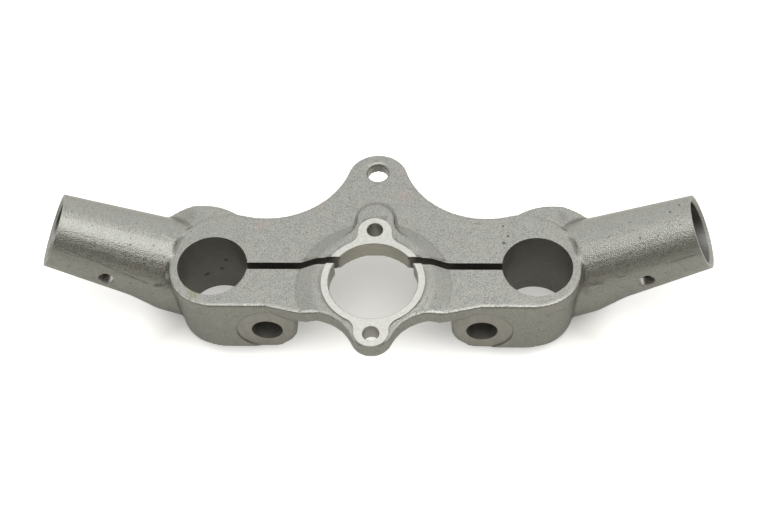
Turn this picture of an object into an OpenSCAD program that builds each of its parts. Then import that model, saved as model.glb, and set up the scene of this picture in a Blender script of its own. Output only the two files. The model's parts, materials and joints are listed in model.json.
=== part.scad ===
// Upper triple clamp for a telescopic fork, cast in one piece with two handlebar sockets.
// The origin is on the steering stem axis, on the machined face of the stem collar.
// +X runs from one fork leg to the other, +Y to the rear of the casting and +Z up.

/* [Fork legs] */
// Distance between the two fork leg axes
fork_centres = 132; // [124:1:140]
// Distance of the fork leg axes behind the stem axis
fork_back = 10; // [8:0.5:11]
// Diameter of the fork leg bores
fork_bore_d = 28.6; // [26:0.1:29.5]
// Height of the fork bosses below the deck top
boss_depth = 35.4; // [33:0.2:38]
// Wall of the fork bosses at the deck top
boss_wall = 5; // [4:0.2:6]
// Shift of the outer boss wall towards the stem
boss_inset = 1.5; // [0.5:0.1:2]
// Draft by which the boss walls close in towards the bottom
boss_draft = 1.9; // [0:0.1:2]
// Radius of the lower edges of the bosses
boss_foot_r = 4; // [2:0.5:5]

/* [Deck] */
// Depth of the deck top below the machined collar face
deck_drop = 4.4; // [3.6:0.1:5]
// Thickness of the deck
deck_t = 7.4; // [6.8:0.2:8.4]
// Radius of the deck corners behind the fork bores
corner_r = 22.5; // [21.5:0.1:23.5]
// Distance of the deck corner centres inboard of the fork axes
corner_in = 5.6; // [4:0.2:6]
// Distance of the deck corner centres behind the fork axes
corner_back = 3.8; // [3:0.2:5]
// Radius of the hollow between the rear lug and a deck corner
waist_r = 35; // [32:1:42]
// Forward lean of the front edge between the pinch bolts and the collar
edge_lean = 5.3; // [4.5:0.1:6]

/* [Rear lug] */
// Distance of the centre of the lug's round end behind the stem axis
lug_back = 54.8; // [52:0.2:58]
// Radius of the lug's round end
lug_r = 12.8; // [11:0.2:14]
// Thickness of the lug
lug_t = 5.3; // [4.5:0.1:6.5]
// Distance of the lug hole behind the centre of the round end
lug_hole_shift = 3.3; // [1:0.1:4]
// Diameter of the lug hole
lug_hole_d = 8.7; // [7:0.1:10]
// Width of the chamfer round the lug hole
lug_chamfer = 0.7; // [0.3:0.1:1]

/* [Stem collar] */
// Diameter of the stem bore
collar_d = 35.9; // [33:0.1:37]
// Thickness of the collar under the machined face
collar_t = 8.4; // [7.6:0.1:9.2]
// Width of the machined ring round the stem bore
ring_w = 2.9; // [2.4:0.1:3.6]
// Height of the machined face over the cast pad
ring_proud = 0.8; // [0.5:0.1:1.2]
// Distance between the two screw holes in the collar ears
ear_pitch = 50; // [48:0.2:51]
// Diameter of the screw holes in the ears
ear_hole_d = 6.4; // [5:0.1:7]
// Radius of the machined ear faces
ear_r = 6.9; // [6:0.1:7.5]
// Distance of the ears' round ends inboard of their screw holes
ear_in = 1; // [0.5:0.1:1.5]
// Radius of the hollow between a machined ear and the ring
ear_fillet = 6; // [4:0.5:8]
// Radius of the cast ear at the front
front_ear_r = 8.6; // [8:0.1:9]
// Distance of the cast front ear's centre inboard of its screw hole
front_ear_in = 2.6; // [2.2:0.1:3]
// Radius of the hollow beside the cast front ear
neck_r = 20; // [15:0.5:22]

/* [Collar pad] */
// Radius of the raised pad at its foot on the deck
pad_foot_r = 31; // [30:0.5:33]
// Radius of the raised pad at its top
pad_top_r = 24.6; // [24:0.2:26]
// Radius of the hollow under the collar, at the collar's underside
pocket_r = 23.8; // [23:0.2:25]
// Widening of that hollow down to the deck's underside
pocket_flare = 4.6; // [1:0.1:5]
// Distance of the hollow's centre before the stem axis
pocket_ahead = 4; // [3:0.2:5]
// Radius of the tongue behind the rear ear
tongue_r = 7.6; // [7:0.1:8.4]
// Distance of the tongue's centre behind the rear screw hole
tongue_back = 6.3; // [5:0.1:7]
// Radius of the hollows between the tongue and the pad
tongue_fillet = 9; // [6:0.5:12]

/* [Pinch lugs] */
// Width of the pinch slots
slot_w = 3.2; // [2:0.1:4]
// Distance of the pinch bolt axes inboard of the fork axes
pinch_in = 22.3; // [21.8:0.1:23]
// Depth of the pinch bolt axes below the deck top
pinch_down = 17.5; // [16.5:0.1:18.5]
// Diameter of the clearance holes in the front halves
pinch_hole_d = 12.7; // [11:0.1:13]
// Diameter of the tapped holes in the rear halves
tapped_hole_d = 10.7; // [8:0.1:10.9]
// Diameter of the spot faces round the bolt holes
spot_d = 25; // [22:0.5:26]
// Depth of the spot faces
spot_depth = 1; // [0.5:0.1:1.5]
// Radius of the pinch lugs round the bolt axes
pinch_r = 12.4; // [12:0.1:13]
// Distance of the lugs' front faces before the fork axes
front_reach = 20.7; // [20:0.1:21.5]
// Depth below the deck top at which the front faces stand upright
front_lean_h = 12; // [8:0.5:14]
// Distance of the lugs' rear faces behind the fork axes
rear_reach = 23.4; // [22:0.1:24]
// Radius of the lower edges of the lugs
lug_foot_r = 2; // [1:0.2:3]
// Radius of the lugs' outer ends, where they run round the bosses
lug_end_r = 24; // [23:0.5:26]

/* [Handlebar sockets] */
// Distance from the stem axis to the centre of a socket mouth
mouth_out = 132.2; // [128:0.2:136]
// Distance of the mouth centres behind the fork axes
socket_back = 14.5; // [13:0.1:15]
// Height of the mouth centres over the deck top
mouth_up = 4.4; // [3:0.2:6]
// Upward slope of the sockets
socket_rise = 24.3; // [22:0.1:26]
// Sweep of the sockets to the rear
socket_sweep = 2.3; // [0:0.1:4]
// Diameter of the handlebars
bar_d = 25.4; // [22:0.1:26]
// Clearance of the handlebars in their bores
bar_clearance = 0.2; // [0.1:0.05:0.4]
// Depth of the handlebar bores
bar_depth = 44; // [38:0.5:46]
// Radius of the sockets outside the mouth
mouth_r = 15.3; // [14.6:0.1:16]
// Radius of the sockets at the boss
socket_root_r = 18.4; // [17.8:0.1:19]
// Length of the tapered stretch
taper_len = 50; // [44:1:54]
// Swell of the sockets' undersides where they run into the bosses
swell = 1.1; // [0.5:0.1:2]
// Length of the swell
swell_len = 18; // [12:1:22]
// Depth of the lead-in at the mouth
lead_in = 1; // [0.5:0.1:1.5]
// Distance of the cross holes from the mouth
cross_in = 25; // [18:0.5:30]
// Diameter of the cross holes
cross_d = 6.4; // [5:0.1:7]

/* [Socket roots] */
// Depth of the root tops below the deck top
root_drop = 2.9; // [2:0.1:4]
// Distance of the roots' centres outboard of the fork axes
root_out = 7.3; // [6.8:0.1:7.8]
// Distance of the roots' centres behind the fork axes
root_back = 7.1; // [6.6:0.1:7.6]
// Radius of the round roots
root_r = 26; // [25.4:0.1:26.6]
// Radius of the lower edges of the roots
root_foot_r = 12; // [10:0.5:13]
// Distance outboard of the fork axes at which the root tops slope down
root_shoulder = 11.2; // [10:0.2:13]
// Slope of the roots' outer shoulders
root_slope = 15; // [12:1:20]

/* [Hidden] */
$fn = 96;
cut = 1;
// Depth by which a hollow bites into the rounds beside it, so that no edge runs out to nothing
bite = 0.05;
// Width of the edge of the collar pad outside its flat top
pad_edge = 1.5;

fork_x = fork_centres / 2;
boss_r = fork_bore_d / 2 + boss_wall;
boss_low_r = boss_r - boss_draft;
boss_c = [fork_x - boss_inset, fork_back];
corner_c = [fork_x - corner_in, fork_back + corner_back];
lug_c = [0, lug_back];
deck_z = -deck_drop;
boss_z = deck_z - boss_depth;
pad_h = deck_drop - ring_proud;

collar_r = collar_d / 2;
ring_r = collar_r + ring_w;
ear_y = ear_pitch / 2;
ear_c = [0, ear_y - ear_in];
front_ear_c = [0, front_ear_in - ear_y];
tongue_c = [0, ear_y + tongue_back];

pinch_x = fork_x - pinch_in;
pinch_z = deck_z - pinch_down;
lug_inner_x = pinch_x - pinch_r;
front_y = fork_back - front_reach;
rear_y = fork_back + rear_reach;

// The front edge runs straight past the fork boss, then leans forward to the collar.
edge_y = fork_back - boss_r;
edge_out = [pinch_x, edge_y];
edge_in = [ring_r, edge_y - edge_lean];
edge_dir = (edge_out - edge_in) / norm(edge_out - edge_in);

mouth_z = deck_z + mouth_up;
socket_y = fork_back + socket_back;
bar_r = (bar_d + bar_clearance) / 2;
root_c = [fork_x + root_out, fork_back + root_back];
root_z = deck_z - root_drop;
// Length of a socket from its mouth to the middle of its root
socket_len = (mouth_out - fork_x - root_shoulder) / cos(socket_rise);

// Centre of the circle of radius r that touches circles ca (ra) and cb (rb), left of the way from ca to cb
function fillet_centre(ca, ra, cb, rb, r) =
    let (d = norm(cb - ca), e = (cb - ca) / d)
    let (along = ((r + ra) ^ 2 - (r + rb) ^ 2 + d ^ 2) / (2 * d))
    let (across = sqrt((r + ra) ^ 2 - along ^ 2))
    ca + along * e + across * [-e[1], e[0]];

// Centre of the circle of radius r that touches circle ca (ra) and the line from p along d, right of it
function line_fillet_centre(ca, ra, p, d, r) =
    let (v = p + r * [d[1], -d[0]] - ca, along = v * d)
    p + r * [d[1], -d[0]] + (sqrt(along ^ 2 - v * v + (r + ra) ^ 2) - along) * d;

// Centre of the lugs' outer ends, which touch the front face and the lower boss wall
lug_end_c = [boss_c[0] - sqrt((lug_end_r - boss_low_r) ^ 2 - (front_y + lug_end_r - fork_back) ^ 2),
             front_y + lug_end_r];

waist_c = fillet_centre(lug_c, lug_r, corner_c, corner_r, waist_r);
neck_c = line_fillet_centre(front_ear_c, front_ear_r, edge_in, edge_dir, neck_r);
neck_end = neck_c - neck_r * [edge_dir[1], -edge_dir[0]];
hollow_r = pad_top_r + pad_edge;

module both_sides() {
    for (side = [0, 1]) mirror([side, 0, 0]) children();
}

// The corner between two touching shapes, less a round hollow of radius r
module web(points, centre, r) {
    difference() {
        polygon(points);
        translate(centre) circle(r + bite);
    }
}

// A section that stands on z0, from x0 to x1 and up to z1, with round lower corners
module rounded_foot(x0, x1, z0, z1, r) {
    translate([x0 + r, z0]) square([x1 - x0 - 2 * r, z1 - z0]);
    translate([x0, z0 + r]) square([x1 - x0, z1 - z0 - r]);
    for (x = [x0 + r, x1 - r]) translate([x, z0 + r]) circle(r);
}

module front_ear_plan() {
    translate(front_ear_c) circle(front_ear_r);
    both_sides() {
        polygon([[0, 0], front_ear_c, neck_end]);
        web([front_ear_c, neck_c, neck_end], neck_c, neck_r);
    }
}

module deck_plan() {
    front_ear_plan();
    translate(lug_c) circle(lug_r);
    both_sides() {
        translate(boss_c) circle(boss_r);
        translate(corner_c) circle(corner_r);
        polygon([lug_c, corner_c, boss_c, [boss_c[0], edge_y], edge_out, neck_end, [0, 0]]);
        web([lug_c, waist_c, corner_c], waist_c, waist_r);
    }
}

module deck() {
    difference() {
        translate([0, 0, deck_z - deck_t]) linear_extrude(deck_t) deck_plan();
        translate([-waist_r, tongue_c[1] + tongue_r, deck_z - deck_t - cut])
            cube([2 * waist_r, lug_back, deck_t + cut - lug_t]);
    }
}

module collar_pad() {
    intersection() {
        rotate_extrude()
            polygon([[0, deck_z - cut], [pad_foot_r, deck_z - cut], [pad_foot_r, deck_z],
                     [pad_top_r, -ring_proud], [0, -ring_proud]]);
        translate([0, 0, deck_z - cut]) linear_extrude(deck_drop + cut) deck_plan();
    }
    translate([0, 0, -collar_t]) linear_extrude(collar_t - ring_proud) front_ear_plan();
    translate([0, 0, deck_z - cut]) linear_extrude(pad_h + cut) {
        translate(tongue_c) circle(tongue_r);
        both_sides() {
            hollow_c = fillet_centre(tongue_c, tongue_r, [0, 0], hollow_r, tongue_fillet);
            web([tongue_c, [0, 0], hollow_c], hollow_c, tongue_fillet);
        }
    }
}

// The bright machined face: a ring with an ear at the front and at the rear
module machined_face() {
    translate([0, 0, -ring_proud - cut]) linear_extrude(ring_proud + cut) {
        circle(ring_r);
        for (end = [0, 1]) mirror([0, end, 0]) {
            translate(ear_c) circle(ear_r);
            both_sides() {
                hollow_c = fillet_centre(ear_c, ear_r, [0, 0], ring_r, ear_fillet);
                web([ear_c, [0, 0], hollow_c], hollow_c, ear_fillet);
            }
        }
    }
}

module collar_hollow() {
    depth = deck_drop + deck_t - collar_t;
    translate([0, 0, -collar_t - depth]) {
        translate([0, -pocket_ahead, 0]) cylinder(h = depth, r1 = pocket_r + pocket_flare, r2 = pocket_r);
        linear_extrude(depth) front_ear_plan();
        translate(front_ear_c) cylinder(h = depth, r = front_ear_r + cut);
    }
}

// A round block that stands on z0, with a lower edge of radius foot_r
module round_block(r, z0, z1, foot_r) {
    rotate_extrude() intersection() {
        rounded_foot(-r, r, z0, z1, foot_r);
        translate([0, z0]) square([r, z1 - z0]);
    }
}

// Closes in downwards for the draft of the mould, and ends in a round edge
module fork_boss() {
    foot_c = [boss_low_r - boss_foot_r, boss_z + boss_foot_r];
    translate(boss_c) rotate_extrude() {
        polygon([[0, deck_z], [boss_r, deck_z], [boss_low_r, foot_c[1]], foot_c, [foot_c[0], boss_z],
                 [0, boss_z]]);
        translate(foot_c) circle(boss_foot_r);
    }
}

// Half round about the bolt axis at its inboard end and round in plan where it meets the boss;
// the front face leans out under the deck's edge
module pinch_lug() {
    lug_z = pinch_z - pinch_r;
    lug_h = deck_z - lug_z;
    outer_x = lug_end_c[0] + lug_end_r;
    intersection() {
        translate([0, rear_y, 0]) rotate([90, 0, 0]) linear_extrude(rear_y - front_y) {
            translate([pinch_x, pinch_z]) circle(pinch_r);
            translate([pinch_x, lug_z]) square([outer_x - pinch_x, lug_h]);
            translate([lug_inner_x, pinch_z]) square([pinch_r, deck_z - pinch_z]);
        }
        rotate([90, 0, 90]) linear_extrude(outer_x) difference() {
            rounded_foot(front_y, rear_y, lug_z, deck_z, lug_foot_r);
            polygon([[front_y - cut, deck_z + cut], [edge_y, deck_z + cut], [edge_y, deck_z],
                     [front_y, deck_z - front_lean_h], [front_y - cut, deck_z - front_lean_h]]);
        }
        translate([0, 0, lug_z]) linear_extrude(lug_h) {
            translate([0, front_y]) square([lug_end_c[0], rear_y - front_y]);
            translate(lug_end_c) circle(lug_end_r);
        }
    }
}

// The round block behind the fork bore that carries a socket; its shoulder slopes down outboard
module socket_root() {
    shoulder_x = fork_x + root_shoulder;
    inner_x = root_c[0] - root_r - cut;
    outer_x = root_c[0] + root_r + cut;
    outer_z = root_z - (outer_x - shoulder_x) * tan(root_slope);
    reach = root_r + cut;
    intersection() {
        translate(root_c) round_block(root_r, boss_z, root_z, root_foot_r);
        translate([0, root_c[1] + reach, 0]) rotate([90, 0, 0]) linear_extrude(reach)
            polygon([[inner_x, boss_z - cut], [outer_x, boss_z - cut], [outer_x, outer_z],
                     [shoulder_x, root_z], [shoulder_x, root_z + cut], [inner_x, root_z + cut]]);
    }
}

module socket_axis() {
    translate([mouth_out, socket_y, mouth_z]) rotate([0, 0, socket_sweep]) rotate([0, -90 - socket_rise, 0])
        children();
}

// A tapered tube whose underside swells to meet the boss
module socket() {
    swell_start = taper_len - swell_len;
    swell_r = mouth_r + (socket_root_r - mouth_r) * swell_start / taper_len;
    difference() {
        socket_axis() {
            rotate_extrude() polygon([[0, 0], [mouth_r, 0], [socket_root_r, taper_len],
                                      [socket_root_r, socket_len], [0, socket_len]]);
            translate([-swell, -swell, 0]) rotate_extrude()
                polygon([[0, swell_start], [swell_r - swell - swell, swell_start],
                         [socket_root_r, taper_len], [socket_root_r, socket_len], [0, socket_len]]);
        }
        translate([0, 0, boss_z - mouth_out]) cube([mouth_out, mouth_out, mouth_out]);
        translate([0, 0, deck_z]) linear_extrude(deck_drop + mouth_up + mouth_r) {
            translate(boss_c) circle(boss_r);
            translate(corner_c) circle(corner_r);
        }
    }
}

module socket_bores() {
    socket_axis() {
        translate([0, 0, -cut]) cylinder(h = bar_depth + cut, r = bar_r);
        translate([0, 0, -cut]) cylinder(h = lead_in + cut, r1 = bar_r + lead_in + cut, r2 = bar_r);
        translate([0, 0, cross_in]) rotate([90, 0, 0])
            cylinder(h = 2 * socket_root_r, d = cross_d, center = true);
    }
}

module pinch_holes() {
    translate([pinch_x, fork_back, pinch_z]) {
        rotate([90, 0, 0]) cylinder(h = front_reach + cut, d = pinch_hole_d);
        rotate([-90, 0, 0]) cylinder(h = root_back + root_r, d = tapped_hole_d);
        translate([0, spot_depth - front_reach, 0]) rotate([90, 0, 0]) cylinder(h = boss_r, d = spot_d);
    }
}

module fork_cuts() {
    translate([fork_x, fork_back, boss_z - cut])
        cylinder(h = boss_depth + deck_drop + mouth_r, d = fork_bore_d);
    translate([0, fork_back - slot_w / 2, boss_z - cut])
        cube([fork_x, slot_w, cut + boss_depth + deck_drop + cut]);
}

module lug_hole() {
    translate([0, lug_back + lug_hole_shift, deck_z]) {
        translate([0, 0, -deck_t]) cylinder(h = deck_t + cut, d = lug_hole_d);
        translate([0, 0, -lug_chamfer])
            cylinder(h = lug_chamfer + cut, d1 = lug_hole_d, d2 = lug_hole_d + 2 * (lug_chamfer + cut));
    }
}

module clamp_casting() {
    color("darkgray") difference() {
        union() {
            deck();
            collar_pad();
            machined_face();
            both_sides() {
                fork_boss();
                pinch_lug();
                socket_root();
                socket();
            }
        }
        collar_hollow();
        translate([0, 0, boss_z]) cylinder(h = boss_depth + deck_drop + cut, r = collar_r);
        for (end = [-1, 1]) translate([0, end * ear_y, boss_z])
            cylinder(h = boss_depth + deck_drop + cut, d = ear_hole_d);
        lug_hole();
        both_sides() {
            fork_cuts();
            pinch_holes();
            socket_bores();
        }
    }
}

clamp_casting();
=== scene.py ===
"""Looks of a cast motorcycle triple clamp.

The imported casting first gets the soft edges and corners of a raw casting. Then its machined
surfaces are cut sharp again, and each kind of surface gets its own finish. Sizes and places are
in millimetres; MM turns them into Blender's metres.
"""

import json
import math

import bmesh
import bpy
import numpy as np
from mathutils import Matrix, Vector, kdtree

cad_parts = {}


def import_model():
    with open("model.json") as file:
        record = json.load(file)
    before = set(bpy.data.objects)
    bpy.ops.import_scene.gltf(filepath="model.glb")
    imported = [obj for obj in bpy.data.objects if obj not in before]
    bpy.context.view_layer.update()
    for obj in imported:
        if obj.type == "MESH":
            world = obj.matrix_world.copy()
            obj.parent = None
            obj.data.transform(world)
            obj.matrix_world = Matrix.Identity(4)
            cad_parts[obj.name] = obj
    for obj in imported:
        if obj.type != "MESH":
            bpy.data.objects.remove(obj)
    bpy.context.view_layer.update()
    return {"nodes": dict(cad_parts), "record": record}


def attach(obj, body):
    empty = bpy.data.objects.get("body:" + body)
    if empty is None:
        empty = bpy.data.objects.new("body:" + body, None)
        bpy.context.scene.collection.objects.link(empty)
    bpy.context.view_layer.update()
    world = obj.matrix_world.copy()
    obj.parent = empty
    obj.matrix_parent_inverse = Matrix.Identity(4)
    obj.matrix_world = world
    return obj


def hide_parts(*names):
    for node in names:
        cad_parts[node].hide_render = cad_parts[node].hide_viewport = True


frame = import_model()

MM = 0.001
MOUNTS = {mount["name"]: mount for mount in frame["record"]["mounts"]}
SIDES = (1, -1)
SOCKETS = ("handlebar_left", "handlebar_right")


def place(name):
    """A mount's point, its axis and its sizes."""
    mount = MOUNTS[name]
    return Vector(mount["pos_m"]) / MM, Vector(mount["axis"]).normalized(), mount["dims"]


# Sizes that the record does not hold
SLOT_WIDTH = 3.2
FACE_STEP = 0.8  # how far the collar face stands above the pad
FACE_ZONE = (30, 40)  # half width and half length of a box round the whole collar face
SPOT_FACE_D = 25
LUG_CHAMFER = 0.7
EDGE_BREAK = 0.25
MOUTH_R = 15.3
MOUTH_LEAD_IN = 1
CROSS_HOLE_D = 6.4
CROSS_HOLE_IN = 25

# Sizes and places taken from the record's mounts
COLLAR_R = MOUNTS["stem_collar"]["dims"]["r_mm"]
FORK_C, _, FORK = place("fork_leg_right")
LUG_C, _, LUG = place("rear_lug_hole")
EARS = MOUNTS["collar_screws"]["dims"]
EAR_Y = EARS["spacing_y_mm"] / 2
BOLT_C, _, BOLTS = place("pinch_bolts")
BOLT_X = BOLTS["spacing_x_mm"] / 2
THREAD_R = MOUNTS["pinch_threads"]["dims"]["hole_r_mm"]
DECK_Z = FORK_C.z + FORK["length_mm"] / 2
FLOOR_Z = FORK_C.z - FORK["length_mm"] / 2
SLOT_Y = (FORK_C.y - SLOT_WIDTH / 2, FORK_C.y + SLOT_WIDTH / 2)

# How far a tool runs past what it cuts, and a filling into what it fills
BEYOND = 8
OVERLAP = 0.4
ROUND_SEGMENTS = 160

# How finely the raw casting is modelled, and how soft its edges and corners are
SKIN_GRID = 0.6
SKIN_SHARE = 0.58
SKIN_PASSES = 3
FILLET_PASSES = 6
FILLET_BEND = 0.12
WALL_PASSES = 24
SHARP_ANGLE = math.radians(32)

# Boxes, alike on both sides, in which the mould left the casting rounder
FAR = 99
ROUNDER = {
    "below_the_front_edge": ((36, -FAR, DECK_Z - 7.2), (84, FORK_C.y - 14, DECK_Z - 2)),
    "under_the_front_web": ((-1, -FAR, -FAR), (38, -6, DECK_Z - 1.5)),
    "under_the_socket_root": ((82, -FAR, -FAR), (120, 16, -14.5)),
}

# Stubs of flash: middle and half sizes
FLASH = (
    ((-89.3, 5.6, -13.3), (1.7, 0.8, 0.6)),
    ((-84.6, 8.0, -9.6), (0.9, 1.0, 1.9)),
    ((88.6, 6.2, -12.2), (1.5, 0.8, 0.6)),
    ((91.4, 6.4, -11.4), (1.6, 0.8, 0.5)),
)

# Lines that the mould's joint left on the sockets: outer end and inner end
JOINTS = (
    ((-126.5, 11.3, 6.5), (-90.3, 5.5, -13.5)),
    ((129.8, 10.1, 4.8), (92.1, 6.5, -10.7)),
)

# Marks on the skin and in the left fork bore: middle and radius
PITS = (
    ((122.1, 29.2, 11.7), 0.7),
    ((118.4, 26.2, 11.0), 0.6),
    ((106.5, 17.4, 5.3), 0.6),
    ((52.6, 21.7, -4.4), 0.9),
    ((54.3, 25.3, -4.4), 0.7),
    ((52.3, 30.3, -4.4), 0.6),
    ((-17.5, 49.5, -4.4), 0.9),
    ((-22.3, 44.8, -4.4), 0.6),
)
WARM_PATCHES = (((11.3, 45.7, -4.4), 4), ((-23.6, 40.4, -4.4), 3.5), ((-47.1, 30.0, -4.4), 3.5))
# Patches of painted shade on the tops by the socket roots: middle and radius
PAINTED_SHADE_PATCHES = (((-78.9, 37.7, -7.7), 6), ((-83.2, 34.3, -6.7), 5), ((77.4, 37.3, -7.3), 4))
OIL_STAINS = (((-72.6, -4.2, -4.4), 2.6), ((-75.8, 0.4, -4.6), 2))
BORE_STAINS = (((-63.4, 24.1, -20.5), 1.4), ((-72.4, 22.8, -29.1), 1.5), ((-66, 24.2, -27), 1.2))
# Painted shadow on the deck behind the tongue: middle, and the radii between which it fades in
TONGUE_SHADOW, TONGUE_SHADOW_R = (0, 33.8, -4.4), (9.2, 8.2)

# Colours
GRAIN_DARK, GRAIN_LIGHT = (0.255, 0.257, 0.235), (0.382, 0.385, 0.353)
MOTTLE = (0.40, 0.39, 0.35)
BLOOM = (0.38, 0.30, 0.27)
PIN_HOLE = (0.08, 0.075, 0.065)
# Dirt and painted shade in the skin's creases
CREASE_DIRT_AND_SHADE = (0.16, 0.155, 0.135)
JOINT_LINE = (0.14, 0.13, 0.115)
EDGE_SHADE = (0.12, 0.115, 0.1)
# Wear and painted highlight on the front edge
EDGE_WEAR_AND_HIGHLIGHT = (0.8, 0.8, 0.77)
PIT = (0.07, 0.065, 0.055)
WARM = (0.40, 0.30, 0.27)
# Painted shade for the patches by the socket roots
PAINTED_PATCH_SHADE = (0.19, 0.185, 0.165)
OIL = (0.25, 0.24, 0.13)
# Painted shadow behind the tongue
TONGUE_SHADOW_TONE = (0.15, 0.145, 0.125)
BORE_STAIN = (0.04, 0.038, 0.032)
SOCKET_PAINTED_SHADE, SOCKET_PAINTED_LIGHT = (0.15, 0.145, 0.13), (0.5, 0.495, 0.465)
SHEET = (0.70, 0.69, 0.64)

# Metal of the skin and of the machined surfaces, and how wide a grain is
SKIN_METAL, SKIN_ROUGHNESS = 0.8, 0.3
CUT_METAL = 0.85
GRAIN_SIZE, GRAIN_DEPTH = 0.5, 0.06
MARK_SIZE, MARK_DEPTH = 1.5, 0.01
EVEN, UPRIGHT_MARKS = (1, 1, 1), (0.3, 0.3, 2)

# Number of each finish among the casting's materials
SKIN, FACE, BORE, COLLAR_BORE, DRILLED, SPOT_FACE, SAWN, SOCKET_BORE, CROSS_HOLE = range(9)

# The room, as the part mirrors it: colours, and the directions between which they change
ROOM_FRONT, ROOM_REAR, ROOM_TOP = (0.16, 0.148, 0.115), (1.15, 1.15, 1.15), (0.95, 0.95, 0.95)
REAR_FROM, TOP_FROM = (-0.6, 0.1), (0.62, 0.86)
LAMP_AT, LAMP_SIZE, LAMP_POWER = Vector((0.2, -0.1, 1.0)), (1.1, 0.85), 5.75

# Where the sheet under the part keeps its own tone and shadow; around it, a painted glow that only
# the camera sees makes it white and washes out the part's shadow
SHADE_X, SHADE_FRONT, SHADE_REAR = (80, 104), (6, -12), (45, 75)
GLOW_UNDER, GLOW_AROUND = 0.24, 0.38

# The camera
CAMERA_AIM, CAMERA_AWAY = Vector((3.85, 15.05, -4.4)) * MM, 658.52 * MM
CAMERA_TURN, CAMERA_RISE, CAMERA_ROLL = (math.radians(a) for a in (4.70, 54.8, -3.65))
CAMERA_LENS, CAMERA_SENSOR = 75.93, 36


# Shapes


def add_round(bm, start, end, r_start, r_end=None):
    """Adds a closed cylinder or cone from start to end."""
    start, end = Vector(start), Vector(end)
    along = end - start
    turn = along.to_track_quat("Z", "Y").to_matrix().to_4x4()
    bmesh.ops.create_cone(
        bm,
        cap_ends=True,
        segments=ROUND_SEGMENTS,
        radius1=r_start * MM,
        radius2=(r_start if r_end is None else r_end) * MM,
        depth=along.length * MM,
        matrix=Matrix.Translation((start + end) / 2 * MM) @ turn,
    )


def add_block(bm, low, high):
    """Adds a box between two corners."""
    low, high = Vector(low) * MM, Vector(high) * MM
    size = Matrix.Diagonal((*(high - low), 1))
    bmesh.ops.create_cube(bm, size=1, matrix=Matrix.Translation((low + high) / 2) @ size)


def add_lump(bm, middle, size):
    """Adds a squashed ball."""
    turn = Matrix.Translation(Vector(middle) * MM) @ Matrix.Diagonal((*(Vector(size) * MM), 1))
    bmesh.ops.create_icosphere(bm, subdivisions=3, radius=1, matrix=turn)


def add_object(name, data):
    made = bpy.data.objects.new(name, data)
    bpy.context.scene.collection.objects.link(made)
    return made


def make_object(name, bm):
    mesh = bpy.data.meshes.new(name)
    bm.to_mesh(mesh)
    bm.free()
    return add_object(name, mesh)


def shape(name, *adds):
    """An object made by a row of (function, its values...)."""
    bm = bmesh.new()
    for add, *values in adds:
        add(bm, *values)
    return make_object(name, bm)


def settle(piece, kind, **values):
    """Runs one modifier on the piece and keeps its result as the mesh."""
    modifier = piece.modifiers.new(kind.lower(), kind)
    for name, value in values.items():
        setattr(modifier, name, value)
    bpy.context.view_layer.update()
    evaluated = piece.evaluated_get(bpy.context.evaluated_depsgraph_get())
    mesh = bpy.data.meshes.new_from_object(evaluated)
    piece.modifiers.clear()
    old = piece.data
    piece.data = mesh
    bpy.data.meshes.remove(old)


def cut(piece, tool, operation="DIFFERENCE"):
    """Cuts, joins or crosses the piece with a tool, which is used up."""
    settle(piece, "BOOLEAN", object=tool, operation=operation, solver="MANIFOLD")
    bpy.data.objects.remove(tool)


def join(piece, *others):
    """Adds the others' meshes to the piece."""
    bm = bmesh.new()
    for each in (piece, *others):
        bm.from_mesh(each.data)
    bm.to_mesh(piece.data)
    bm.free()
    for other in others:
        bpy.data.objects.remove(other)


def lengthwise(side, y_start, y_end, r):
    """A round along one pinch bolt."""
    x = side * BOLT_X
    return (add_round, (x, y_start, BOLT_C.z), (x, y_end, BOLT_C.z), r)


def packed_shape():
    """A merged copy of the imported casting; the casting itself stays as it is."""
    bm = bmesh.new()
    bm.from_mesh(frame["nodes"]["clamp_casting"].data)
    bmesh.ops.remove_doubles(bm, verts=bm.verts, dist=0.001 * MM)
    return bm


class Socket:
    """A handlebar socket: the two ends of its bore, and the hole across it."""

    def __init__(self, name):
        self.middle, self.out, sizes = place(name)
        self.r = sizes["r_mm"]
        self.half = self.out * sizes["length_mm"] / 2
        self.inner = self.middle - self.half
        self.mouth = self.middle + self.out * (sizes["length_mm"] / 2 + MOUTH_LEAD_IN)
        self.across = self.out.cross(Vector((0, 0, 1))).normalized()
        self.hole = self.mouth - self.out * CROSS_HOLE_IN


# The raw casting, as it leaves the mould


def face_zone(name):
    """The space that holds all of the machined collar face, and nothing else."""
    x, y = FACE_ZONE
    return shape(name, (add_block, (-x, -y, -FACE_STEP), (x, y, BEYOND)))


def slot_filling():
    """The casting's section just before the slots, drawn out over their width."""
    bm = packed_shape()
    bmesh.ops.bisect_plane(
        bm,
        geom=bm.verts[:] + bm.edges[:] + bm.faces[:],
        plane_co=(0, (SLOT_Y[0] - OVERLAP / 2) * MM, 0),
        plane_no=(0, 1, 0),
        clear_outer=True,
        clear_inner=True,
    )
    bmesh.ops.triangle_fill(bm, use_beauty=True, use_dissolve=False, edges=bm.edges[:])
    drawn = bmesh.ops.extrude_face_region(bm, geom=bm.faces[:])["geom"]
    moved = [item for item in drawn if isinstance(item, bmesh.types.BMVert)]
    bmesh.ops.translate(bm, verts=moved, vec=(0, (SLOT_WIDTH + OVERLAP) * MM, 0))
    bmesh.ops.recalc_face_normals(bm, faces=bm.faces[:])
    return make_object("slot_filling", bm)


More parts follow.
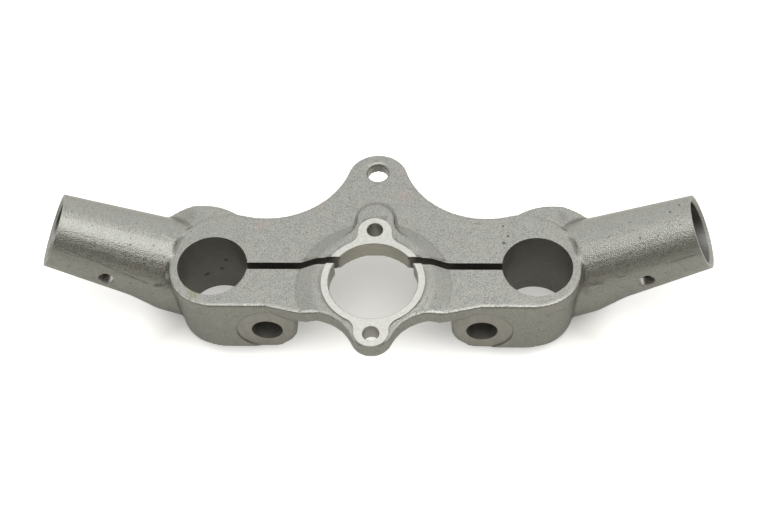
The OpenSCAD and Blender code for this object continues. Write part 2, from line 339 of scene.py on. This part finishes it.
def round_fillings():
    """Plugs for the bores, and a stub on each socket that is faced off later."""
    fork_r, bolt_r = FORK["r_mm"] + OVERLAP, BOLTS["hole_r_mm"] + OVERLAP
    plugs = []
    for side in SIDES:
        x = side * FORK_C.x
        plugs.append((add_round, (x, FORK_C.y, FLOOR_Z), (x, FORK_C.y, DECK_Z), fork_r))
        plugs.append(lengthwise(side, BOLT_C.y, FORK_C.y, bolt_r))
    for name in SOCKETS:
        tube = Socket(name)
        far = tube.middle + tube.half + 3 * tube.out
        plugs.append((add_round, tube.inner - tube.out, far, MOUTH_R))
    return shape("round_fillings", *plugs)


def bend_of(mesh):
    """Each vertex, and how far it lies behind (above 0) or before its neighbours' middle."""
    count = len(mesh.vertices)
    points, normals = np.zeros(count * 3), np.zeros(count * 3)
    mesh.vertices.foreach_get("co", points)
    mesh.vertices.foreach_get("normal", normals)
    points, normals = points.reshape(-1, 3) / MM, normals.reshape(-1, 3)
    edges = np.zeros(len(mesh.edges) * 2, int)
    mesh.edges.foreach_get("vertices", edges)
    ends = edges.reshape(-1, 2)
    ends = np.vstack([ends, ends[:, ::-1]])
    degree = np.bincount(ends[:, 0], minlength=count)

    def middle(values):
        return np.bincount(ends[:, 0], values[ends[:, 1]], count) / degree

    around = np.stack([middle(points[:, axis]) for axis in range(3)], 1)
    bend = ((around - points) * normals).sum(1)
    for _ in range(3):
        bend = 0.5 * bend + 0.5 * middle(bend)
    return points, bend


def soften(casting, passes, name, weights):
    """Smooths the skin, each vertex by its own weight, in eighths."""
    group = casting.vertex_groups.new(name=name)
    levels = np.round(np.clip(weights, 0, 1) * 8).astype(int)
    for level in range(1, 9):
        group.add(np.flatnonzero(levels == level).tolist(), level / 8, "REPLACE")
    settle(casting, "SMOOTH", factor=0.5, iterations=passes, vertex_group=name)
    casting.vertex_groups.clear()


def rounder(points):
    """1 for the points that lie in one of the boxes, on either side, and 0 for the others."""
    folded = np.column_stack([np.abs(points[:, 0]), points[:, 1:]])
    inside = [((folded > low) & (folded < high)).all(1) for low, high in ROUNDER.values()]
    return np.any(inside, axis=0).astype(float)


def raw_casting():
    casting = make_object("casting", packed_shape())
    cut(casting, face_zone("above_the_pad"))
    flash = shape("flash", *((add_lump, middle, size) for middle, size in FLASH))
    join(casting, slot_filling(), round_fillings(), flash)
    settle(casting, "REMESH", mode="VOXEL", voxel_size=SKIN_GRID * MM)
    soften(casting, SKIN_PASSES, "skin", np.ones(len(casting.data.vertices)))
    points, bend = bend_of(casting.data)
    soften(casting, FILLET_PASSES, "fillets", bend / FILLET_BEND)
    soften(casting, WALL_PASSES, "front_walls", rounder(points))
    return casting


# Machining


def collar_face():
    """The machined ring with its two ears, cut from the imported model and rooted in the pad."""
    face = make_object("collar_face", packed_shape())
    cut(face, face_zone("at_the_face"), "INTERSECT")
    for vertex in face.data.vertices:
        if vertex.co.z < -FACE_STEP * MM / 2:
            vertex.co.z -= MM
    return face


def upright(x, y, r):
    """A drill from above, through everything."""
    return (add_round, (x, y, FLOOR_Z - BEYOND), (x, y, 2 * BEYOND), r)


def chamfer(x, y, top, r, size):
    """A countersink for an upright hole of radius r."""
    return (add_round, (x, y, top - size), (x, y, top + 1), r, r + size + 1)


def socket_cuts(name):
    """Faces the socket off, bores it, breaks the bore's edge and drills the hole across."""
    tube = Socket(name)
    beyond, lead_in = tube.mouth + tube.out * BEYOND, tube.out * MOUTH_LEAD_IN
    reach = tube.across * 2 * MOUTH_R
    wide_r = tube.r + MOUTH_LEAD_IN + 1
    return [
        [(add_round, tube.mouth, beyond, 2 * MOUTH_R)],
        [(add_round, tube.inner, beyond, tube.r)],
        [(add_round, tube.mouth - lead_in, tube.mouth + tube.out, tube.r, wide_r)],
        [(add_round, tube.hole - reach, tube.hole + reach, CROSS_HOLE_D / 2)],
    ]


def machining():
    """Groups of tools; those in one group touch nothing of each other's."""
    ear_r, bolt_r, reach = EARS["hole_r_mm"], BOLTS["hole_r_mm"], SPOT_FACE_D
    slot = ((-FORK_C.x, SLOT_Y[0], FLOOR_Z - BEYOND), (FORK_C.x, SLOT_Y[1], BEYOND))
    groups = [
        [upright(side * FORK_C.x, FORK_C.y, FORK["r_mm"]) for side in SIDES]
        + [upright(0, 0, COLLAR_R)]
        + [upright(0, side * EAR_Y, ear_r) for side in SIDES]
        + [upright(0, LUG_C.y, LUG["r_mm"])],
        [chamfer(0, LUG_C.y, DECK_Z, LUG["r_mm"], LUG_CHAMFER)]
        + [chamfer(0, 0, 0, COLLAR_R, EDGE_BREAK)]
        + [chamfer(0, side * EAR_Y, 0, ear_r, EDGE_BREAK) for side in SIDES]
        + [lengthwise(side, BOLT_C.y - reach, FORK_C.y, bolt_r) for side in SIDES],
        [lengthwise(side, FORK_C.y - 1, FORK_C.y + 2 * reach, THREAD_R) for side in SIDES],
        [lengthwise(side, BOLT_C.y - reach, BOLT_C.y, SPOT_FACE_D / 2) for side in SIDES],
        [(add_block, *slot)],
    ]
    for name in SOCKETS:
        groups += socket_cuts(name)
    return groups


def machined_casting():
    """The casting with all its machined surfaces, and the bends of its skin before them."""
    casting = raw_casting()
    skin = bend_of(casting.data)
    settle(casting, "DECIMATE", ratio=SKIN_SHARE)
    cut(casting, collar_face(), "UNION")
    for number, group in enumerate(machining()):
        cut(casting, shape(f"tool_{number}", *group))
    casting.data.set_sharp_from_angle(angle=SHARP_ANGLE)
    return casting, skin


# Where the finishes go


def rising(values, start, run):
    """0 up to start and 1 from start + run on."""
    return np.clip((values - start) / run, 0, 1)


def survey(casting, skin):
    """Writes at each vertex how creased the raw skin was, and whether it is on the front edge."""
    points, bend = skin
    tree = kdtree.KDTree(len(points))
    for index, point in enumerate(points):
        tree.insert(point, index)
    tree.balance()
    mesh = casting.data
    bend = bend[[tree.find(vertex.co / MM)[1] for vertex in mesh.vertices]]
    co = np.zeros(len(mesh.vertices) * 3)
    mesh.vertices.foreach_get("co", co)
    x, y, z = co.reshape(-1, 3).T / MM
    crease = rising(bend, 0.006, 0.016)
    front = rising(-y, -1, 4) * rising(np.abs(x), 12, 4) * rising(-bend, 0.008, 0.01)
    front *= rising(z, DECK_Z - 2.6, 0.8) * rising(-z, 0.9, 0.3)
    for name, values in (("crease", crease), ("front", front)):
        written = mesh.attributes.new(name, "FLOAT", "POINT")
        written.data.foreach_set("value", values.astype(np.float32))


def faces_of(mesh):
    """Each face's middle and the way it faces."""
    count = len(mesh.polygons)
    centres, normals = np.zeros(count * 3), np.zeros(count * 3)
    mesh.polygons.foreach_get("center", centres)
    mesh.polygons.foreach_get("normal", normals)
    return centres.reshape(-1, 3) / MM, normals.reshape(-1, 3)


def on_wall(centres, normals, point, axis, radius):
    """Which faces lie on the round wall about an axis."""
    rel, axis = centres - np.array(point), np.array(axis)
    away = np.linalg.norm(rel - (rel @ axis)[:, None] * axis, axis=1)
    return (np.abs(away - radius) < 0.06) & (np.abs(normals @ axis) < 0.1)


def on_flat(centres, normals, point, out, near=0.03, facing=0.98):
    """Which faces lie on the flat at a point that faces out."""
    out = np.array(out)
    return (np.abs((centres - np.array(point)) @ out) < near) & (normals @ out > facing)


def paint(casting):
    """Gives each machined surface its own finish, by where it is."""
    faces = faces_of(casting.data)
    centres, _ = faces
    x, y, z = centres.T
    up, rearward = (0, 0, 1), (0, 1, 0)
    finish = np.full(len(centres), SKIN)
    finish[(z > -0.05) & (np.abs(x) < FACE_ZONE[0]) & (np.abs(y) < FACE_ZONE[1])] = FACE
    for side in SIDES:
        bolt = (side * BOLT_X, 0, BOLT_C.z)
        front_half, rear_half = y < SLOT_Y[0], y > SLOT_Y[1]
        finish[on_wall(*faces, (side * FORK_C.x, FORK_C.y, 0), up, FORK["r_mm"])] = BORE
        finish[on_wall(*faces, bolt, rearward, BOLTS["hole_r_mm"]) & front_half] = DRILLED
        finish[on_wall(*faces, bolt, rearward, THREAD_R) & rear_half] = DRILLED
        finish[on_wall(*faces, (0, side * EAR_Y, 0), up, EARS["hole_r_mm"])] = DRILLED
    finish[on_wall(*faces, (0, 0, 0), up, COLLAR_R) & (np.abs(y) < COLLAR_R)] = COLLAR_BORE
    finish[on_wall(*faces, (0, LUG_C.y, 0), up, LUG["r_mm"])] = DRILLED
    finish[on_flat(*faces, (0, BOLT_C.y, 0), (0, -1, 0))] = SPOT_FACE
    for level in SLOT_Y:
        for facing in SIDES:
            finish[on_flat(*faces, (0, level, 0), (0, facing, 0), 0.02, 0.99)] = SAWN
    for name in SOCKETS:
        tube = Socket(name)
        at_socket = np.linalg.norm(centres - np.array(tube.hole), axis=1) < 2 * MOUTH_R
        finish[on_wall(*faces, tube.middle, tube.out, tube.r)] = SOCKET_BORE
        across = on_wall(*faces, tube.hole, tube.across, CROSS_HOLE_D / 2)
        finish[across & at_socket] = CROSS_HOLE
        finish[on_flat(*faces, tube.mouth, tube.out)] = SPOT_FACE
    casting.data.polygons.foreach_set("material_index", finish)
    return finish


def crisp_borders(mesh, finish):
    """Keeps the shading of one finish from running into the next."""
    sizes, edges = np.zeros(len(mesh.polygons), int), np.zeros(len(mesh.loops), int)
    mesh.polygons.foreach_get("loop_total", sizes)
    mesh.loops.foreach_get("edge_index", edges)
    of_loop = np.repeat(finish, sizes)
    low, high = np.full(len(mesh.edges), finish.max()), np.zeros(len(mesh.edges), int)
    np.minimum.at(low, edges, of_loop)
    np.maximum.at(high, edges, of_loop)
    sharp = mesh.attributes.get("sharp_edge")
    sharp = sharp or mesh.attributes.new("sharp_edge", "BOOLEAN", "EDGE")
    values = np.zeros(len(mesh.edges), bool)
    sharp.data.foreach_get("value", values)
    sharp.data.foreach_set("value", values | (low != high))


# Nodes


def node(tree, kind, inputs=None, **values):
    """Adds a node; inputs are values or sockets by name or number."""
    made = tree.nodes.new(kind)
    for name, value in values.items():
        setattr(made, name, value)
    for name, value in (inputs or {}).items():
        if isinstance(value, bpy.types.NodeSocket):
            tree.links.new(value, made.inputs[name])
        else:
            made.inputs[name].default_value = value
    return made


def calculate(tree, operation, *values):
    inputs = dict(enumerate(values))
    return node(tree, "ShaderNodeMath", inputs, operation=operation).outputs[0]


def measure(tree, operation, where, point):
    inputs = {0: where, 1: point}
    return node(tree, "ShaderNodeVectorMath", inputs, operation=operation).outputs


def product(tree, *values):
    made = values[0]
    for value in values[1:]:
        made = calculate(tree, "MULTIPLY", made, value)
    return made


def mix(tree, factor, first, second):
    """Between two colours; either may be a colour or a socket."""
    inputs = {0: factor}
    for number, colour in ((6, first), (7, second)):
        inputs[number] = (*colour, 1) if isinstance(colour, tuple) else colour
    return node(tree, "ShaderNodeMix", inputs, data_type="RGBA").outputs[2]


def tint(tree, under, mask, share, colour):
    """Lays a share of a colour over what is there, where the mask is."""
    return mix(tree, product(tree, mask, share), under, colour)


def ramp(tree, value, low, high):
    """0 at low and 1 at high, with a soft run between."""
    inputs = {"Value": value, "From Min": low, "From Max": high}
    return node(tree, "ShaderNodeMapRange", inputs, interpolation_type="SMOOTHSTEP").outputs[0]


def band(tree, value, low, high, rim):
    """1 between low and high, with soft rims."""
    return product(tree, ramp(tree, value, low - rim, low), ramp(tree, value, high + rim, high))


def noise(tree, where, size, detail, roughness):
    """Noise whose lumps are about size across."""
    inputs = {"Vector": where, "Scale": 1 / (size * MM), "Detail": detail, "Roughness": roughness}
    return node(tree, "ShaderNodeTexNoise", inputs).outputs["Fac"]


def part_of(tree, vector, axis):
    return node(tree, "ShaderNodeSeparateXYZ", {0: vector}).outputs[axis]


def rise_of(tree):
    """How far the surface faces up."""
    return part_of(tree, node(tree, "ShaderNodeNewGeometry").outputs["Normal"], "Z")


def attribute(tree, name):
    return node(tree, "ShaderNodeAttribute", attribute_name=name).outputs["Fac"]


def side_of(tree, where, point, facing):
    """How far the surface lies before a plane."""
    moved = measure(tree, "SUBTRACT", where, Vector(point) * MM)[0]
    return measure(tree, "DOT_PRODUCT", moved, Vector(facing).normalized() / MM)["Value"]


def spot(tree, where, point, radius, rim):
    """1 at a place on the casting and 0 around it, with a ragged rim."""
    away = measure(tree, "DISTANCE", where, Vector(point) * MM)["Value"]
    away = calculate(tree, "DIVIDE", away, radius * MM)
    ragged = product(tree, noise(tree, where, radius * 0.8, 4, 0.7), 1.6)
    return ramp(tree, calculate(tree, "ADD", away, ragged), 1.8, 1.8 - rim)


def bump(tree, shader, height, depth):
    made = node(tree, "ShaderNodeBump", {"Distance": depth * MM, "Height": height})
    tree.links.new(made.outputs[0], shader.inputs["Normal"])


def new_material(name, metallic, roughness):
    material = bpy.data.materials.new(name)
    material.use_nodes = True
    tree = material.node_tree
    shader = tree.nodes["Principled BSDF"]
    shader.inputs["Metallic"].default_value = metallic
    shader.inputs["Roughness"].default_value = roughness
    where = node(tree, "ShaderNodeTexCoord").outputs["Object"]
    return material, tree, shader, where


# Finishes


def grain_group():
    """Blasted grain: a speckle mask, a soft mottle mask and a height for bump."""
    tree = bpy.data.node_groups.new("blasted_grain", "ShaderNodeTree")
    face = tree.interface
    face.new_socket("Vector", in_out="INPUT", socket_type="NodeSocketVector")
    face.new_socket("Size mm", in_out="INPUT", socket_type="NodeSocketFloat")
    for name in ("Speckle", "Mottle", "Height"):
        face.new_socket(name, in_out="OUTPUT", socket_type="NodeSocketFloat")
    given = tree.nodes.new("NodeGroupInput").outputs
    where, scale = given["Vector"], calculate(tree, "DIVIDE", 1 / MM, given["Size mm"])

    fine = {"Vector": where, "Scale": scale, "Detail": 2.0, "Roughness": 0.6}
    fine = node(tree, "ShaderNodeTexNoise", fine).outputs["Fac"]
    cells = node(tree, "ShaderNodeTexVoronoi", {"Vector": where, "Scale": scale}, feature="F1")
    grains = calculate(tree, "SUBTRACT", 1.0, cells.outputs["Distance"])
    both = calculate(tree, "ADD", product(tree, grains, 0.5), product(tree, fine, 0.5))
    speckle = ramp(tree, both, 0.35, 0.72)

    coarse = {"Vector": where, "Scale": product(tree, scale, 0.12), "Detail": 4.0}
    mottle = ramp(tree, node(tree, "ShaderNodeTexNoise", coarse).outputs["Fac"], 0.3, 0.7)
    height = calculate(tree, "ADD", speckle, product(tree, mottle, 0.35))
    made = {"Speckle": speckle, "Mottle": mottle, "Height": height}
    node(tree, "NodeGroupOutput", made)
    return tree


def parting_line(tree, where, outer, inner):
    """1 along the line that the mould's joint left on a socket's front."""
    outer, inner = Vector(outer), Vector(inner)
    side, name = (1, "handlebar_right") if outer.x > 0 else (-1, "handlebar_left")
    middle = Socket(name).middle
    across = (outer - inner).cross(outer - middle)
    off = calculate(tree, "ABSOLUTE", side_of(tree, where, outer, across))
    before = side_of(tree, where, middle, (0, -1, 0))
    beyond = side_of(tree, where, inner, (side, 0, 0))
    broken = ramp(tree, noise(tree, where, 5, 3, 0.7), 0.35, 0.6)
    on_front = product(tree, ramp(tree, before, 4, 8), ramp(tree, beyond, -1, 2))
    return product(tree, ramp(tree, off, 0.6, 0.15), on_front, broken)


def edge_wear_and_highlight(tree, where, colour):
    """The front edge: a painted highlight along its rounding, bright and broken where it is worn,
    with a line of painted shade under it.
    """
    front, rise = attribute(tree, "front"), rise_of(tree)
    broken = ramp(tree, noise(tree, where, 3.5, 4, 0.75), 0.3, 0.48)
    under = product(tree, front, band(tree, rise, 0.2, 0.42, 0.1))
    bright = product(tree, front, band(tree, rise, 0.56, 0.84, 0.06), broken)
    colour = tint(tree, colour, under, 0.6, EDGE_SHADE)
    return mix(tree, bright, colour, EDGE_WEAR_AND_HIGHLIGHT)


def cast_skin():
    """The blasted skin of the raw casting, with what the foundry and use left on it, and painted
    shade and highlights.
    """
    material, tree, shader, where = new_material("cast_skin", SKIN_METAL, SKIN_ROUGHNESS)
    grains = node(tree, "ShaderNodeGroup", {}, node_tree=GRAIN)
    tree.links.new(where, grains.inputs["Vector"])
    grains.inputs["Size mm"].default_value = GRAIN_SIZE
    grains = grains.outputs
    bloom = ramp(tree, noise(tree, where, 11, 3, 0.6), 0.56, 0.72)
    holes = ramp(tree, noise(tree, where, 1.1, 1, 0.4), 0.72, 0.78)
    crease = calculate(tree, "POWER", attribute(tree, "crease"), 1.6)
    joint = calculate(tree, "ADD", *(parting_line(tree, where, *ends) for ends in JOINTS))

    colour = mix(tree, grains["Speckle"], GRAIN_DARK, GRAIN_LIGHT)
    colour = tint(tree, colour, grains["Mottle"], 0.2, MOTTLE)
    colour = tint(tree, colour, bloom, 0.16, BLOOM)
    colour = tint(tree, colour, holes, 0.7, PIN_HOLE)
    # Creases get darker: partly dirt, partly painted shade
    colour = tint(tree, colour, crease, 0.85, CREASE_DIRT_AND_SHADE)
    colour = tint(tree, colour, joint, 0.45, JOINT_LINE)
    # Front edge: wear, painted highlight, and painted shade under it
    colour = edge_wear_and_highlight(tree, where, colour)
    for marks, rim, share, tone in (
        (PITS, 0.3, 0.75, PIT),
        (WARM_PATCHES, 0.9, 0.35, WARM),
        # painted shade by the socket roots
        (PAINTED_SHADE_PATCHES, 1.1, 0.4, PAINTED_PATCH_SHADE),
    ):
        for middle, radius in marks:
            colour = tint(tree, colour, spot(tree, where, middle, radius, rim), share, tone)
    # Painted shadow on the deck behind the tongue
    away = measure(tree, "DISTANCE", where, Vector(TONGUE_SHADOW) * MM)["Value"]
    near = ramp(tree, away, *(r * MM for r in TONGUE_SHADOW_R))
    level = part_of(tree, where, "Z")
    on_deck = band(tree, level, (DECK_Z - 1) * MM, (DECK_Z + 1) * MM, 0.8 * MM)
    colour = tint(tree, colour, product(tree, near, on_deck), 0.5, TONGUE_SHADOW_TONE)
    oil = calculate(tree, "ADD", *(spot(tree, where, *each, 0.5) for each in OIL_STAINS))
    colour = tint(tree, colour, oil, 0.55, OIL)
    tree.links.new(colour, shader.inputs["Base Color"])

    height = calculate(tree, "SUBTRACT", grains["Height"], product(tree, holes, 2.0))
    height = calculate(tree, "ADD", height, product(tree, joint, 1.5))
    bump(tree, shader, height, GRAIN_DEPTH)
    return material


def machined(name, colour, roughness, stretch, stains=()):
    """A cut surface with fine tool marks; the stretch draws them out along an axis."""
    material, tree, shader, where = new_material(name, CUT_METAL, roughness)
    drawn = node(tree, "ShaderNodeMapping", {"Vector": where, "Scale": stretch}).outputs[0]
    lines = noise(tree, drawn, MARK_SIZE, 3, 0.6)
    darker = tuple(0.86 * part for part in colour)
    tone = mix(tree, ramp(tree, lines, 0.3, 0.7), darker, colour)
    for middle, radius in stains:
        tone = tint(tree, tone, spot(tree, where, middle, radius, 0.8), 0.7, BORE_STAIN)
    tree.links.new(tone, shader.inputs["Base Color"])
    bump(tree, shader, lines, MARK_DEPTH)
    return material


def socket_bore():
    """Painted shade towards the top of the bore, which faces down, and painted light along its
    bottom, which faces up.
    """
    material, tree, shader, where = new_material("socket_bore_wall", CUT_METAL, 0.4)
    colour = mix(tree, ramp(tree, rise_of(tree), 0.4, 0.85), SOCKET_PAINTED_SHADE, SOCKET_PAINTED_LIGHT)
    tree.links.new(colour, shader.inputs["Base Color"])
    bump(tree, shader, noise(tree, where, MARK_SIZE, 3, 0.6), MARK_DEPTH)
    return material


casting, skin = machined_casting()
survey(casting, skin)
GRAIN = grain_group()
casting.data.materials.clear()
finishes = {
    SKIN: cast_skin(),
    FACE: machined("collar_face_milled", (0.60, 0.60, 0.555), 0.42, EVEN),
    # The fork bores' dark tone is painted shade of the deep bores
    BORE: machined("bore_wall", (0.285, 0.28, 0.257), 0.45, UPRIGHT_MARKS, BORE_STAINS),
    COLLAR_BORE: machined("collar_bore_wall", (0.53, 0.51, 0.45), 0.45, UPRIGHT_MARKS),
    DRILLED: machined("drilled_wall", (0.42, 0.41, 0.38), 0.4, EVEN),
    SPOT_FACE: machined("spot_face_milled", (0.385, 0.37, 0.34), 0.4, (1, 1, 0.3)),
    # The sawn walls' dark tone is painted shade of the narrow slot
    SAWN: machined("sawn_wall", (0.17, 0.16, 0.14), 0.5, (0.2, 1, 1)),
    SOCKET_BORE: socket_bore(),
    CROSS_HOLE: machined("cross_hole_wall", (0.7, 0.66, 0.62), 0.35, EVEN),
}
for number in sorted(finishes):
    casting.data.materials.append(finishes[number])
crisp_borders(casting.data, paint(casting))
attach(casting, "root")
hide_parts("clamp_casting")


# The room


def floor():
    """The pale sheet under the part, which keeps the part's shadow under it; a painted glow that
    only the camera sees whitens it, more strongly around the part.
    """
    bm = bmesh.new()
    bmesh.ops.create_grid(bm, x_segments=1, y_segments=1, size=4)
    bmesh.ops.translate(bm, verts=bm.verts, vec=(0, 0, FLOOR_Z * MM))
    made = make_object("floor", bm)
    material, tree, shader, where = new_material("pale_floor", 0, 0.8)
    shader.inputs["Base Color"].default_value = (*SHEET, 1)
    shader.inputs["Emission Color"].default_value = (1, 1, 1, 1)
    across = calculate(tree, "ABSOLUTE", part_of(tree, where, "X"))
    along = part_of(tree, where, "Y")
    around = ramp(tree, across, *(reach * MM for reach in SHADE_X))
    for reaches in (SHADE_FRONT, SHADE_REAR):
        beyond = ramp(tree, along, *(reach * MM for reach in reaches))
        around = calculate(tree, "MAXIMUM", around, beyond)
    glow = calculate(tree, "MULTIPLY_ADD", around, GLOW_AROUND, GLOW_UNDER)
    # Painted glow, seen only by the camera: weaker under the part, stronger around it
    seen = node(tree, "ShaderNodeLightPath").outputs["Is Camera Ray"]
    tree.links.new(product(tree, seen, glow), shader.inputs["Emission Strength"])
    made.data.materials.append(material)


def softbox():
    """One lamp that hangs above the part and shines straight down."""
    data = bpy.data.lights.new("softbox", "AREA")
    data.shape, data.size, data.size_y = "RECTANGLE", *LAMP_SIZE
    data.energy = LAMP_POWER
    made = add_object("softbox", data)
    made.location = LAMP_AT
    made.rotation_euler = Vector((0, 0, -1)).to_track_quat("-Z", "Y").to_euler()


def world():
    """White where the camera sees it; the room's light is darker in front than behind and above."""
    made = bpy.data.worlds.new("studio")
    bpy.context.scene.world = made
    made.use_nodes = True
    tree = made.node_tree
    facing = node(tree, "ShaderNodeTexCoord").outputs["Generated"]
    rear = ramp(tree, part_of(tree, facing, "Y"), *REAR_FROM)
    high = ramp(tree, part_of(tree, facing, "Z"), *TOP_FROM)
    level = mix(tree, high, mix(tree, rear, ROOM_FRONT, ROOM_REAR), ROOM_TOP)
    seen = node(tree, "ShaderNodeLightPath").outputs["Is Camera Ray"]
    colour = mix(tree, seen, level, (1, 1, 1))
    tree.links.new(colour, tree.nodes["Background"].inputs["Color"])


def camera():
    data = bpy.data.cameras.new("camera")
    data.lens, data.sensor_width = CAMERA_LENS, CAMERA_SENSOR
    data.clip_start, data.clip_end = 0.01, 50
    turn, rise, roll = CAMERA_TURN, CAMERA_RISE, CAMERA_ROLL
    level, high = math.cos(rise), math.sin(rise)
    back = Vector((math.sin(turn) * level, -math.cos(turn) * level, high))
    right = Vector((math.cos(turn), math.sin(turn), 0))
    up = back.cross(right)
    across = math.cos(roll) * right + math.sin(roll) * up
    upward = math.cos(roll) * up - math.sin(roll) * right
    turned = Matrix((across, upward, back)).transposed().to_4x4()
    made = add_object("camera", data)
    made.matrix_world = Matrix.Translation(CAMERA_AIM + back * CAMERA_AWAY) @ turned
    bpy.context.scene.camera = made


floor()
softbox()
world()
camera()
bpy.context.scene.view_settings.view_transform = "Standard"
